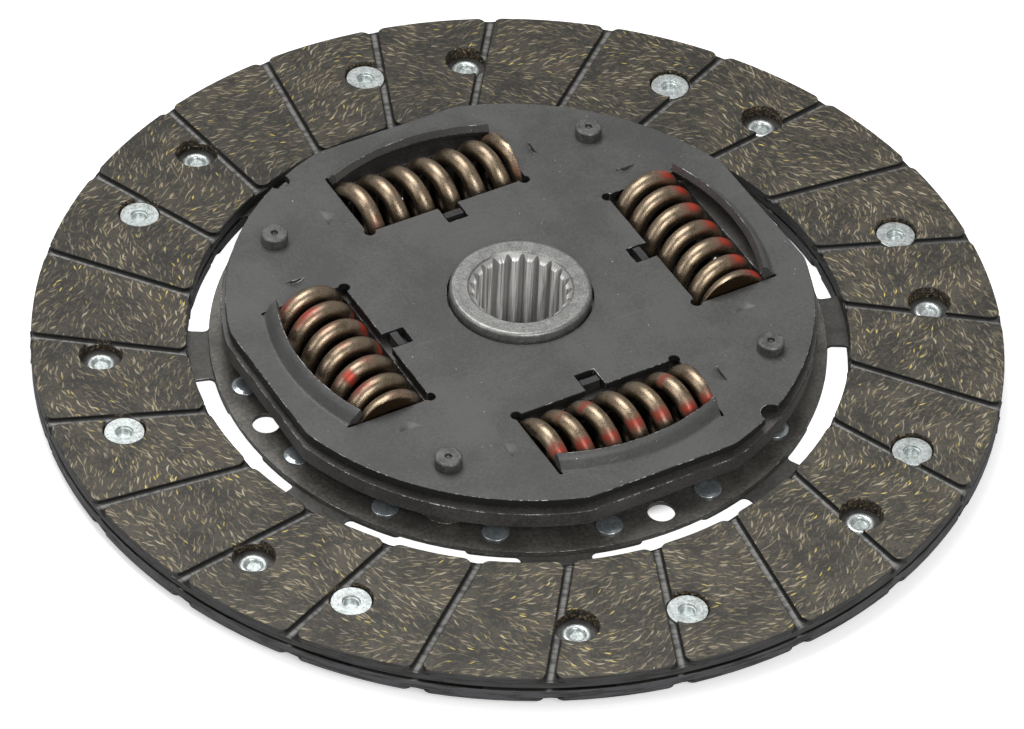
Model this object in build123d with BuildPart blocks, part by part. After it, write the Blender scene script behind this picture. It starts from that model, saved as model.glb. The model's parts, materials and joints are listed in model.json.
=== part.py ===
from build123d import *
import os
from math import cos, radians, sin

# Clutch disc with torsion damper, gearbox side up.
# Origin: on the hub axis, in the middle plane of the cushion segments. +Z points to the gearbox.
# Azimuths are in degrees, counter-clockwise from +X. The four damper windows lie on +X, +Y, -X and -Y.

# ---- hub ----
SPLINE_COUNT = 21
SPLINE_MINOR_R = 10.75
SPLINE_DEPTH = 1.25
SPLINE_ROOT_WIDTH = 0.5
SPLINE_MOUTH_WIDTH = 2.05
SPLINE_START = 7.1  # azimuth of the first spline groove
HUB_WALL = 4.7  # from the bottom of a spline groove to the outside
HUB_TOP = 16.7
HUB_BOTTOM = -6.0
HUB_ROUND = 1.0
HUB_CHAMFER_OVER = 0.5  # the bore chamfer passes the spline grooves by this much
SEAT_OVER = 2.9  # seat of the hub flange outside the hub
KEY_COUNT = 4
KEY_WIDTH = 6.0
KEY_OVER = 1.8  # keys outside the seat
SHOULDER_OVER = 1.0  # shoulder outside the keys
SHOULDER_T = 0.8
SPLINE_MAJOR_R = SPLINE_MINOR_R + SPLINE_DEPTH
HUB_CHAMFER_R = SPLINE_MAJOR_R + HUB_CHAMFER_OVER
HUB_R = SPLINE_MAJOR_R + HUB_WALL
SEAT_R = HUB_R + SEAT_OVER
KEY_R = SEAT_R + KEY_OVER
SHOULDER_R = KEY_R + SHOULDER_OVER

# ---- friction pieces ----
FACE_CLEAR = 0.05
FIT_CLEAR = 0.05  # radial, for riveted and keyed fits
BUSH_CLEAR = 0.15
BUSH_WALL = 1.6
BUSH_LIP_T = 1.5
SHOULDER_CLEAR = 0.6  # from the shoulder circle to the bush flange and the friction ring
FRICTION_WIDTH = 10.0  # friction ring, bore to outside
PRESSURE_RING_T = 0.9
PRESSURE_RING_OVER = 3.5  # pressure ring bore outside the hub
PRESSURE_RING_WIDTH = 13.3
LUG_WIDTH = 4.7
LUG_T = 1.9
LUG_BELOW_COVER = 0.2
DISC_SPRING_OVER = 0.3  # disc spring bore outside the pressure ring bore
DISC_SPRING_WIDTH = 8.9
DISC_SPRING_T = 0.35
DISC_SPRING_RISE = 0.12
DRIVEN_BORE_R = HUB_R + BUSH_CLEAR + BUSH_WALL + FIT_CLEAR
BUSH_FLANGE_R = SHOULDER_R - SHOULDER_CLEAR
FRICTION_INNER_R = SHOULDER_R + SHOULDER_CLEAR
FRICTION_OUTER_R = FRICTION_INNER_R + FRICTION_WIDTH
PRESSURE_RING_INNER_R = HUB_R + PRESSURE_RING_OVER
PRESSURE_RING_OUTER_R = PRESSURE_RING_INNER_R + PRESSURE_RING_WIDTH
DISC_SPRING_INNER_R = PRESSURE_RING_INNER_R + DISC_SPRING_OVER
DISC_SPRING_OUTER_R = DISC_SPRING_INNER_R + DISC_SPRING_WIDTH

# ---- damper springs ----
SPRING_OD = 19.4
SPRING_WIRE_D = 4.4
SPRING_LENGTH = 42.6
SPRING_ACTIVE_TURNS = 5  # one more turn at each end is closed up and ground flat
SPRING_END_GAP = 0.85  # between the wire of an end turn and the next one
SPRING_CLEAR = 2.8  # from the friction ring to the springs
SPRING_GROUND = 0.25  # share of the wire left at the ground tip
SPRING_STARTS = (134.3, 86.6, 192.6, 224.1)  # how far each spring is turned on its own axis
SPRING_INNER = FRICTION_OUTER_R + SPRING_CLEAR
SPRING_RADIUS = SPRING_INNER + SPRING_OD / 2  # hub axis to spring axis
SPRING_OUTER = SPRING_RADIUS + SPRING_OD / 2

# ---- damper windows ----
WINDOW_COUNT = 4
WINDOW_END_CLEAR = 0.2  # each end of a spring to the end of its window
WINDOW_INNER_CLEAR = 0.4
WINDOW_EAR_R = 1.3
NOTCH_WIDTH = 5.2
NOTCH_DEPTH = 5.6
FLANGE_WINDOW_OVER = 0.8  # flange window outside the spring
FLANGE_WINDOW_CORNER_R = 0.5
FLANGE_WINDOW_CLEAR = 0.1  # each end of a spring to the flange window
WINDOW_WIDTH = SPRING_LENGTH + 2 * WINDOW_END_CLEAR
WINDOW_INNER = SPRING_INNER - WINDOW_INNER_CLEAR
FLANGE_WINDOW_OUTER = SPRING_OUTER + FLANGE_WINDOW_OVER

# ---- lips that lean over the springs ----
LIP_OVER = 5.9  # from the spring to the bend of a lip on the cover
DRIVEN_LIP_OVER = 4.4
LIP_CENTRE = 6.0  # the lips curve round a point this far out from the hub axis
LIP_BEND_R = 2.0
LIP_RISE_ANGLE = 60.0
LIP_RISE = 1.9
LIP_TIP_ANGLE = 20.0
LIP_END_GAP = 0.6
DRIVEN_LIP_END_GAP = 3.5
LIP_START_R = SPRING_OUTER + LIP_OVER
DRIVEN_LIP_START_R = SPRING_OUTER + DRIVEN_LIP_OVER

# ---- damper stack ----
DAMPER_Z = 8.7  # middle plane of the hub flange and the spring axes
FLANGE_T = 4.0
PLATE_GAP = 1.5  # from the hub flange to the plate on either side
COVER_T = 2.0
COVER_EDGE = 7.7  # cover outside the bend of the lips
COVER_FLAT_EDGE = 5.1  # the same at the flats beside the windows
FLANGE_EDGE = 1.0  # hub flange outside the cover
FLANGE_FLAT_EDGE = 0.9
OUTLINE_CORNER_R = 8.0
COVER_BORE_CLEAR = 0.5
COVER_R = LIP_START_R + COVER_EDGE
COVER_FLAT = LIP_START_R + COVER_FLAT_EDGE
FLANGE_R = COVER_R + FLANGE_EDGE
FLANGE_FLAT = COVER_FLAT + FLANGE_FLAT_EDGE
COVER_BORE_R = HUB_R + COVER_BORE_CLEAR

# ---- spacer bolts ----
BOLT_INSIDE = 1.0  # bolt axes inside the bend of the lips
BOLT_BODY_D = 8.0
BOLT_NECK_D = 5.4
BOLT_HEAD_D = 6.4
BOLT_HEAD_T = 2.8
BOLT_TAIL_T = 1.6
BOLT_CENTRE_D = 1.7
BOLT_CENTRE_DEPTH = 1.6
BOLT_CHAMFER = 0.35
TWIST = 8.0  # degrees that the hub turns each way before its flange meets the bolts
SLOT_CLEAR = 0.4
BOLT_RADIUS = LIP_START_R - BOLT_INSIDE

# ---- driven plate, flywheel side of the damper ----
DRIVEN_T = 1.2
CROWN_OVER = 1.1  # raised middle of the plate outside the bolt circle, at its top
CROWN_LOBE_R = 4.9
CROWN_TAPER = 20.0
CROWN_LOBE_FILLET = 5.0
SEGMENT_RIVET_OVER = 5.4  # segment rivets outside the raised middle
SEGMENT_RIVET_HEAD_D = 6.3
SEGMENT_RIVET_HEAD_T = 1.0
SEGMENT_RIVET_SHANK_D = 4.0
RIM_OVER = 6.0  # rim outside the segment rivets
RIM_HOLE_D = 6.4
CROWN_R = BOLT_RADIUS + CROWN_OVER
SEGMENT_RIVET_RADIUS = CROWN_R + SEGMENT_RIVET_OVER
RIM_R = SEGMENT_RIVET_RADIUS + RIM_OVER

# ---- friction facings ----
FACING_GAP = 5.15  # from the rim of the driven plate to the facings
FACING_WIDTH = 36.25
FACING_T = 3.3
GROOVE_COUNT = 24
GROOVE_WIDTH = 2.0
GROOVE_DEPTH = 1.3
GROOVE_OFFSET = 21.0  # each groove is a straight line that passes the axis at this distance
GROOVE_START = 8.6
PAD_CORNER_R = 2.1
FACING_ID = 2 * (RIM_R + FACING_GAP)
FACING_OD = FACING_ID + 2 * FACING_WIDTH

# ---- facing rivets, tubular, heads sunk in one facing and rolled over in a hole of the other ----
FACING_RIVET_IN = 16.0  # from the outside of the facings
RIVET_AT_GEARBOX = 38.4  # azimuth of the first rivet whose head is on the gearbox side
RIVET_AT_FLYWHEEL = 23.4  # azimuth of the first rivet whose head is on the flywheel side
RIVET_HOLE_D = 10.0
RIVET_HEAD_D = 9.3
RIVET_HEAD_T = 0.85
RIVET_SEAT_T = 1.4  # facing left under the head
RIVET_SHANK_D = 5.0
RIVET_RECESS_D = 4.1  # mouth of the blind bore in the head
RIVET_RECESS_T = 0.6
RIVET_BORE_D = 3.4
RIVET_WEB_LOW = 0.1  # the shank is left solid between these two levels
RIVET_WEB_HIGH = 0.9
RIVET_ROLL_D = 7.0
RIVET_ROLL_T = 0.55
FACING_RIVET_RADIUS = FACING_OD / 2 - FACING_RIVET_IN

# ---- cushion segments ----
SEGMENT_COUNT = 8
SEGMENT_AT = 22.5
SEGMENT_T = 0.8
SEGMENT_TIP_IN = 1.8  # segment ends inside the outside of the facings
SEGMENT_SPAN = 42.8  # degrees, under the facings
NECK_SPAN = 12.6
FOOT_SPAN = 33.0
FOOT_IN = 3.7  # segment feet inside their rivets
NECK_FILLET = 1.5
NECK_OVER = 0.4
SEGMENT_TIP_R = FACING_OD / 2 - SEGMENT_TIP_IN
FOOT_INNER_R = SEGMENT_RIVET_RADIUS - FOOT_IN

# ---- stamped marks on the cover ----
NICK_CLEAR = 6.8  # from the end of a window to the steep wall of a nick
NICK_RADIUS = 44.5
NICK_LENGTH = 5.4
NICK_RUN = 3.2
NICK_DEPTH = 0.9
EDGE_NOTCH_AT = 117.5
EDGE_NOTCH_R = 2.6

# ---- levels, worked out from the sizes above ----
SEGMENT_TOP = SEGMENT_T / 2
FACING_TOP = SEGMENT_TOP + FACING_T
RIM_TOP = SEGMENT_TOP + DRIVEN_T
FLANGE_BOTTOM = DAMPER_Z - FLANGE_T / 2
FLANGE_TOP = DAMPER_Z + FLANGE_T / 2
COVER_BOTTOM = FLANGE_TOP + PLATE_GAP
COVER_TOP = COVER_BOTTOM + COVER_T
CROWN_TOP = FLANGE_BOTTOM - PLATE_GAP
CROWN_BOTTOM = CROWN_TOP - DRIVEN_T
QUARTER = 360 / WINDOW_COUNT
BOLT_AT = QUARTER / 2
NICK_ROUND_R = NICK_DEPTH / 2 + NICK_LENGTH ** 2 / (8 * NICK_DEPTH)
RIVET_STEP = 360 / SEGMENT_COUNT
EPS = 0.01
OVERLAP = 1.0


def upright_plane(azimuth, distance):
    """Upright plane facing sideways, its origin at a distance from the hub axis, local x outwards."""
    turn = radians(azimuth)
    origin = (distance * cos(turn), distance * sin(turn), 0)
    return Plane(origin=origin, x_dir=(cos(turn), sin(turn), 0), z_dir=(sin(turn), -cos(turn), 0))


def plate_outline(level, radius, flat):
    """Round outline with one flat beside each window, drawn at a level."""
    with BuildSketch(Plane.XY.offset(level)) as outline:
        Circle(radius)
        with PolarLocations(flat, WINDOW_COUNT):
            Rectangle(radius, 2 * radius, align=(Align.MIN, Align.CENTER), mode=Mode.SUBTRACT)
        fillet(outline.vertices(), OUTLINE_CORNER_R)
    return outline.sketch


def cut_windows(level, depth, outer, with_notch):
    """Cuts the four spring windows, with relief ears in their inner corners."""
    ear = WINDOW_WIDTH / 2 - WINDOW_EAR_R / 2
    with BuildSketch(Plane.XY.offset(level)) as windows:
        with PolarLocations(WINDOW_INNER, WINDOW_COUNT):
            Rectangle(outer, WINDOW_WIDTH, align=(Align.MIN, Align.CENTER))
        with BuildSketch(mode=Mode.INTERSECT):
            with PolarLocations(LIP_CENTRE, WINDOW_COUNT):
                Circle(outer - LIP_CENTRE)
        with PolarLocations(WINDOW_INNER, WINDOW_COUNT):
            with Locations((0, ear), (0, -ear)):
                Circle(WINDOW_EAR_R)
        if with_notch:
            with PolarLocations(WINDOW_INNER + OVERLAP, WINDOW_COUNT):
                Rectangle(NOTCH_DEPTH + OVERLAP, NOTCH_WIDTH, align=(Align.MAX, Align.CENTER))
    extrude(windows.sketch, amount=depth, mode=Mode.SUBTRACT)


def add_lips(plate_mid, thickness, side, start_radius, end_gap):
    """Adds a bent lip on the outer edge of each window. side is 1 for upwards, -1 for downwards."""
    width = WINDOW_WIDTH - 2 * end_gap
    rise = radians(LIP_RISE_ANGLE)
    tip = radians(LIP_TIP_ANGLE)
    steep = Vector(-cos(rise), side * sin(rise))
    bend_end = Vector(-sin(rise), side * (1 - cos(rise))) * LIP_BEND_R
    bend_mid = Vector(-sin(rise / 2), side * (1 - cos(rise / 2))) * LIP_BEND_R
    half = (rise + tip) / 2
    curl_mid = Vector(sin(half) - sin(rise), side * (cos(half) - cos(rise))) * LIP_BEND_R
    curl_end = Vector(sin(tip) - sin(rise), side * (cos(tip) - cos(rise))) * LIP_BEND_R
    root = Vector(start_radius - LIP_CENTRE, plate_mid)
    low = root + bend_end
    high = low + steep * LIP_RISE
    for index in range(WINDOW_COUNT):
        middle = upright_plane(index * QUARTER, LIP_CENTRE)
        with BuildPart(mode=Mode.PRIVATE) as lip:
            with BuildSketch(middle) as profile:
                with BuildLine() as line:
                    Line(root + Vector(thickness, 0), root)
                    ThreePointArc(root, root + bend_mid, low)
                    Line(low, high)
                    ThreePointArc(high, high + curl_mid, high + curl_end)
                trace(line.line, line_width=thickness)
            pivot = Axis(middle.origin, (0, 0, 1))
            for way in (1, -1):
                revolve(profile.sketch, axis=pivot, revolution_arc=way * QUARTER / 2)
            with Locations(Location((0, 0, 0), (0, 0, index * QUARTER))):
                Box(4 * start_radius, width, 4 * start_radius, mode=Mode.INTERSECT)
        add(lip.part)


def cut_holes(level, depth, diameter, radius, count, start):
    """Cuts a ring of round holes from a level."""
    with BuildSketch(Plane.XY.offset(level)) as holes:
        with PolarLocations(radius, count, start_angle=start):
            Circle(diameter / 2)
    extrude(holes.sketch, amount=depth, mode=Mode.SUBTRACT)


def export_named(part, name):
    """Labels a finished piece and writes its file."""
    part.label = name
    export_step(part, "parts/" + name + ".step")
    print(name, round(part.volume, 1), len(part.solids()))


os.makedirs("parts", exist_ok=True)


# ================= friction facings =================
def build_facing(side, seat_at, hole_at):
    """Ring of lining with slanted grooves on its outer face. side is 1 for the gearbox side."""
    inner = side * SEGMENT_TOP
    pad_root = side * (FACING_TOP - GROOVE_DEPTH)
    with BuildPart() as facing:
        with BuildSketch(Plane.XY.offset(inner)):
            Circle(FACING_OD / 2)
            Circle(FACING_ID / 2, mode=Mode.SUBTRACT)
        extrude(amount=side * (FACING_T - GROOVE_DEPTH))
        with BuildSketch(Plane.XY.offset(pad_root)) as pads:
            Circle(FACING_OD / 2)
            Circle(FACING_ID / 2, mode=Mode.SUBTRACT)
            with PolarLocations(0, GROOVE_COUNT, start_angle=GROOVE_START):
                with Locations((FACING_OD / 2, GROOVE_OFFSET)):
                    Rectangle(FACING_OD, GROOVE_WIDTH, mode=Mode.SUBTRACT)
            fillet(pads.vertices(), PAD_CORNER_R)
        extrude(amount=side * GROOVE_DEPTH)
        depth = side * FACING_T
        cut_holes(inner, depth, RIVET_HOLE_D, FACING_RIVET_RADIUS, SEGMENT_COUNT, hole_at)
        shank_hole = RIVET_SHANK_D + 2 * FIT_CLEAR
        cut_holes(inner, depth, shank_hole, FACING_RIVET_RADIUS, SEGMENT_COUNT, seat_at)
        seat = inner + side * RIVET_SEAT_T
        cut_holes(seat, depth, RIVET_HOLE_D, FACING_RIVET_RADIUS, SEGMENT_COUNT, seat_at)
    return facing.part


facing_gearbox = build_facing(1, RIVET_AT_GEARBOX, RIVET_AT_FLYWHEEL)
export_named(facing_gearbox, "facing_gearbox_side")
facing_flywheel = build_facing(-1, RIVET_AT_FLYWHEEL, RIVET_AT_GEARBOX)
export_named(facing_flywheel, "facing_flywheel_side")


def build_facing_rivets(side, start):
    """Tubular rivets that hold one facing to the segments, all in one group."""
    head_low = side * (SEGMENT_TOP + RIVET_SEAT_T)
    head_high = head_low + side * RIVET_HEAD_T
    roll_high = -side * SEGMENT_TOP
    roll_low = roll_high - side * RIVET_ROLL_T
    with BuildPart() as rivets:
        for index in range(SEGMENT_COUNT):
            turn = radians(start + index * RIVET_STEP)
            centre = (FACING_RIVET_RADIUS * cos(turn), FACING_RIVET_RADIUS * sin(turn), 0)
            with BuildSketch(Plane(origin=centre, x_dir=(1, 0, 0), z_dir=(0, -1, 0))):
                with BuildLine():
                    recess_low = head_high - side * RIVET_RECESS_T
                    roll_middle = (RIVET_ROLL_D + RIVET_BORE_D) / 4
                    Polyline(
                        (0, side * RIVET_WEB_LOW),
                        (0, side * RIVET_WEB_HIGH),
                        (RIVET_BORE_D / 2, side * RIVET_WEB_HIGH),
                        (RIVET_BORE_D / 2, recess_low),
                        (RIVET_RECESS_D / 2, recess_low),
                        (RIVET_RECESS_D / 2, head_high),
                        (RIVET_HEAD_D / 2, head_high),
                        (RIVET_HEAD_D / 2, head_low),
                        (RIVET_SHANK_D / 2, head_low),
                        (RIVET_SHANK_D / 2, roll_high),
                        (RIVET_ROLL_D / 2, roll_high),
                    )
                    ThreePointArc(
                        (RIVET_ROLL_D / 2, roll_high),
                        (roll_middle, roll_low),
                        (RIVET_BORE_D / 2, roll_high),
                    )
                    Polyline(
                        (RIVET_BORE_D / 2, roll_high),
                        (RIVET_BORE_D / 2, side * RIVET_WEB_LOW),
                        (0, side * RIVET_WEB_LOW),
                    )
                make_face()
            revolve(axis=Axis(centre, (0, 0, 1)))
    return rivets.part


export_named(build_facing_rivets(1, RIVET_AT_GEARBOX), "facing_rivets_gearbox_side")
export_named(build_facing_rivets(-1, RIVET_AT_FLYWHEEL), "facing_rivets_flywheel_side")


# ================= cushion segments =================
def sector(inner, outer, azimuth, span):
    """Adds a piece of a ring, between two radii and over an angle, to the sketch in hand."""
    first = azimuth - span / 2
    with BuildLine() as border:
        near = CenterArc((0, 0), inner, first, span)
        far = CenterArc((0, 0), outer, first, span)
        Line(near @ 0, far @ 0)
        Line(near @ 1, far @ 1)
    make_face(border.line)


for number in range(SEGMENT_COUNT):
    middle = SEGMENT_AT + number * RIVET_STEP
    neck_out = FACING_ID / 2 + NECK_OVER
    with BuildPart() as segment:
        with BuildSketch(Plane.XY.offset(-SEGMENT_TOP)) as blank:
            sector(FOOT_INNER_R, RIM_R, middle, FOOT_SPAN)
            sector(RIM_R - OVERLAP, neck_out + OVERLAP, middle, NECK_SPAN)
            sector(neck_out, SEGMENT_TIP_R, middle, SEGMENT_SPAN)
            corners = blank.vertices().sort_by(lambda corner: (corner.X ** 2 + corner.Y ** 2) ** 0.5)
            fillet(corners[0:2], NECK_FILLET)
            fillet(blank.vertices().filter_by(
                lambda corner: RIM_R - EPS < (corner.X ** 2 + corner.Y ** 2) ** 0.5
            ), NECK_FILLET)
        extrude(amount=SEGMENT_T)
        shank = SEGMENT_RIVET_SHANK_D + 2 * FIT_CLEAR
        foot_rivet = middle - RIVET_STEP / 4
        for at in (foot_rivet, foot_rivet + RIVET_STEP / 2):
            cut_holes(-SEGMENT_TOP, SEGMENT_T, shank, SEGMENT_RIVET_RADIUS, 1, at)
        shank = RIVET_SHANK_D + 2 * FIT_CLEAR
        for at in (RIVET_AT_FLYWHEEL, RIVET_AT_GEARBOX):
            turned = at + number * RIVET_STEP
            cut_holes(-SEGMENT_TOP, SEGMENT_T, shank, FACING_RIVET_RADIUS, 1, turned)
    export_named(segment.part, "cushion_segment_" + str(number + 1))


# ================= driven plate =================
crown_drop = CROWN_TOP - RIM_TOP
wall = DRIVEN_T * (1 - sin(radians(CROWN_TAPER))) / cos(radians(CROWN_TAPER))
neck_hole = BOLT_NECK_D + 2 * FIT_CLEAR

with BuildPart() as driven_plate:
    with BuildSketch(Plane.XY.offset(SEGMENT_TOP)):
        Circle(RIM_R)
    extrude(amount=DRIVEN_T)
    with BuildSketch(Plane.XY.offset(CROWN_TOP)) as crown:
        Circle(CROWN_R)
        with PolarLocations(BOLT_RADIUS, WINDOW_COUNT, start_angle=BOLT_AT):
            Circle(CROWN_LOBE_R)
        fillet(crown.vertices(), CROWN_LOBE_FILLET)
    extrude(amount=-(crown_drop + DRIVEN_T / 2), taper=-CROWN_TAPER)
    with BuildSketch(Plane.XY.offset(CROWN_BOTTOM)) as hollow:
        Circle(CROWN_R - wall)
        with PolarLocations(BOLT_RADIUS, WINDOW_COUNT, start_angle=BOLT_AT):
            Circle(CROWN_LOBE_R - wall)
        fillet(hollow.vertices(), CROWN_LOBE_FILLET + wall)
    extrude(amount=-(CROWN_BOTTOM - SEGMENT_TOP), taper=-CROWN_TAPER, mode=Mode.SUBTRACT)
    with BuildSketch(Plane.XY.offset(CROWN_BOTTOM)):
        Circle(DRIVEN_BORE_R)
    extrude(amount=DRIVEN_T, mode=Mode.SUBTRACT)
    cut_windows(CROWN_BOTTOM, DRIVEN_T, DRIVEN_LIP_START_R, False)
    cut_holes(CROWN_BOTTOM, DRIVEN_T, neck_hole, BOLT_RADIUS, WINDOW_COUNT, BOLT_AT)
    shank = SEGMENT_RIVET_SHANK_D + 2 * FIT_CLEAR
    count = 2 * SEGMENT_COUNT
    cut_holes(SEGMENT_TOP, DRIVEN_T, shank, SEGMENT_RIVET_RADIUS, count, RIVET_STEP / 4)
    cut_holes(SEGMENT_TOP, DRIVEN_T, RIM_HOLE_D, SEGMENT_RIVET_RADIUS, WINDOW_COUNT, 0)
    add_lips(CROWN_TOP - DRIVEN_T / 2, DRIVEN_T, -1, DRIVEN_LIP_START_R, DRIVEN_LIP_END_GAP)
export_named(driven_plate.part, "driven_plate")


# ================= segment rivets =================
with BuildPart() as segment_rivets:
    for index in range(2 * SEGMENT_COUNT):
        turn = radians(RIVET_STEP / 4 + index * RIVET_STEP / 2)
        centre = (SEGMENT_RIVET_RADIUS * cos(turn), SEGMENT_RIVET_RADIUS * sin(turn), 0)
        with BuildSketch(Plane(origin=centre, x_dir=(1, 0, 0), z_dir=(0, -1, 0))):
            with BuildLine():
                rim = SEGMENT_RIVET_HEAD_D / 2
                edge = SEGMENT_RIVET_HEAD_T / 2
                Polyline(
                    (0, RIM_TOP + SEGMENT_RIVET_HEAD_T),
                    (rim / 2, RIM_TOP + SEGMENT_RIVET_HEAD_T),
                    (rim, RIM_TOP + edge),
                    (rim, RIM_TOP),
                    (SEGMENT_RIVET_SHANK_D / 2, RIM_TOP),
                    (SEGMENT_RIVET_SHANK_D / 2, -SEGMENT_TOP),
                    (rim, -SEGMENT_TOP),
                    (rim, -SEGMENT_TOP - edge),
                    (rim / 2, -SEGMENT_TOP - SEGMENT_RIVET_HEAD_T),
                    (0, -SEGMENT_TOP - SEGMENT_RIVET_HEAD_T),
                    close=True,
                )
            make_face()
        revolve(axis=Axis(centre, (0, 0, 1)))
export_named(segment_rivets.part, "segment_rivets")


# ================= hub =================
with BuildPart() as hub:
    with BuildSketch(Plane.XY.offset(HUB_BOTTOM)):
        Circle(HUB_R)
    extrude(amount=HUB_TOP - HUB_BOTTOM)
    fillet(hub.edges().group_by(Axis.Z)[-1], HUB_ROUND)
    chamfer(hub.edges().group_by(Axis.Z)[0], HUB_ROUND)
    with BuildSketch(Plane.XY.offset(FLANGE_BOTTOM - SHOULDER_T)):
        Circle(SHOULDER_R)
    extrude(amount=SHOULDER_T)
    with BuildSketch(Plane.XY.offset(FLANGE_BOTTOM)):
        Circle(SEAT_R)
        with PolarLocations(0, KEY_COUNT, start_angle=BOLT_AT):
            Rectangle(KEY_R, KEY_WIDTH, align=(Align.MIN, Align.CENTER))
    extrude(amount=FLANGE_T)
    with BuildSketch(Plane.XY.offset(HUB_BOTTOM)):
        Circle(SPLINE_MINOR_R)
        with PolarLocations(0, SPLINE_COUNT, start_angle=SPLINE_START):
            Polygon(
                (SPLINE_MINOR_R - OVERLAP / 2, -SPLINE_MOUTH_WIDTH / 2),
                (SPLINE_MINOR_R, -SPLINE_MOUTH_WIDTH / 2),
                (SPLINE_MAJOR_R, -SPLINE_ROOT_WIDTH / 2),
                (SPLINE_MAJOR_R, SPLINE_ROOT_WIDTH / 2),
                (SPLINE_MINOR_R, SPLINE_MOUTH_WIDTH / 2),
                (SPLINE_MINOR_R - OVERLAP / 2, SPLINE_MOUTH_WIDTH / 2),
                align=None,
            )
    extrude(amount=HUB_TOP - HUB_BOTTOM, mode=Mode.SUBTRACT)
    chamfer_depth = HUB_CHAMFER_R - SPLINE_MINOR_R
    for level, inward in ((HUB_TOP, -1), (HUB_BOTTOM, 1)):
        with BuildSketch(Plane.XZ):
            with BuildLine():
                Polyline(
                    (0, level),
                    (HUB_CHAMFER_R, level),
                    (SPLINE_MINOR_R - EPS, level + inward * (chamfer_depth + EPS)),
                    (0, level + inward * (chamfer_depth + EPS)),
                    close=True,
                )
            make_face()
        revolve(axis=Axis.Z, mode=Mode.SUBTRACT)
export_named(hub.part, "hub")


# ================= hub flange =================
slot_width = BOLT_BODY_D + 2 * SLOT_CLEAR
with BuildPart() as hub_flange:
    extrude(plate_outline(FLANGE_BOTTOM, FLANGE_R, FLANGE_FLAT), amount=FLANGE_T)
    with BuildSketch(Plane.XY.offset(FLANGE_BOTTOM)):
        Circle(SEAT_R + FIT_CLEAR)
        with PolarLocations(0, KEY_COUNT, start_angle=BOLT_AT):
            reach = KEY_R + FIT_CLEAR
            Rectangle(reach, KEY_WIDTH + 2 * FIT_CLEAR, align=(Align.MIN, Align.CENTER))
    extrude(amount=FLANGE_T, mode=Mode.SUBTRACT)
    with BuildSketch(Plane.XY.offset(FLANGE_BOTTOM)) as windows:
        with PolarLocations((WINDOW_INNER + FLANGE_WINDOW_OUTER) / 2, WINDOW_COUNT):
            opening = SPRING_LENGTH + 2 * FLANGE_WINDOW_CLEAR
            Rectangle(FLANGE_WINDOW_OUTER - WINDOW_INNER, opening)
        fillet(windows.vertices(), FLANGE_WINDOW_CORNER_R)
    extrude(amount=FLANGE_T, mode=Mode.SUBTRACT)
    with BuildSketch(Plane.XY.offset(FLANGE_BOTTOM)):
        for index in range(WINDOW_COUNT):
            with BuildLine() as sweep_line:
                CenterArc((0, 0), BOLT_RADIUS, BOLT_AT + index * QUARTER - TWIST, 2 * TWIST)
            SlotArc(sweep_line.wire(), slot_width)
    extrude(amount=FLANGE_T, mode=Mode.SUBTRACT)
export_named(hub_flange.part, "hub_flange")


# ================= cover plate =================
with BuildPart() as cover_plate:
    extrude(plate_outline(COVER_BOTTOM, COVER_R, COVER_FLAT), amount=COVER_T)
    cut_windows(COVER_BOTTOM, COVER_T, LIP_START_R, True)
    cut_holes(COVER_BOTTOM, COVER_T, neck_hole, BOLT_RADIUS, WINDOW_COUNT, BOLT_AT)
    with BuildSketch(Plane.XY.offset(COVER_BOTTOM)):
        Circle(COVER_BORE_R)
        with PolarLocations(COVER_R, 2, start_angle=EDGE_NOTCH_AT):
            Circle(EDGE_NOTCH_R)
    extrude(amount=COVER_T, mode=Mode.SUBTRACT)
    for index in range(WINDOW_COUNT):
        turn = radians(index * QUARTER)
        outwards = Vector(cos(turn), sin(turn), 0)
        along = Vector(sin(turn), -cos(turn), 0)
        for hand in (-1, 1):
            wall_at = hand * (WINDOW_WIDTH / 2 + NICK_CLEAR)
            foot = outwards * NICK_RADIUS + along * wall_at + Vector(0, 0, COVER_TOP)
            ramp = along * (-hand * NICK_RUN) + Vector(0, 0, NICK_DEPTH)
            plane = Plane(origin=foot, x_dir=outwards, z_dir=ramp)
            upwards = 1 if plane.y_dir.Z > 0 else -1
            with BuildSketch(plane) as round_end:
                with Locations((0, upwards * (NICK_ROUND_R - NICK_DEPTH))):
                    Circle(NICK_ROUND_R)
            extrude(round_end.sketch, amount=2 * NICK_RUN, mode=Mode.SUBTRACT)
    add_lips(COVER_BOTTOM + COVER_T / 2, COVER_T, 1, LIP_START_R, LIP_END_GAP)
export_named(cover_plate.part, "cover_plate")


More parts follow.
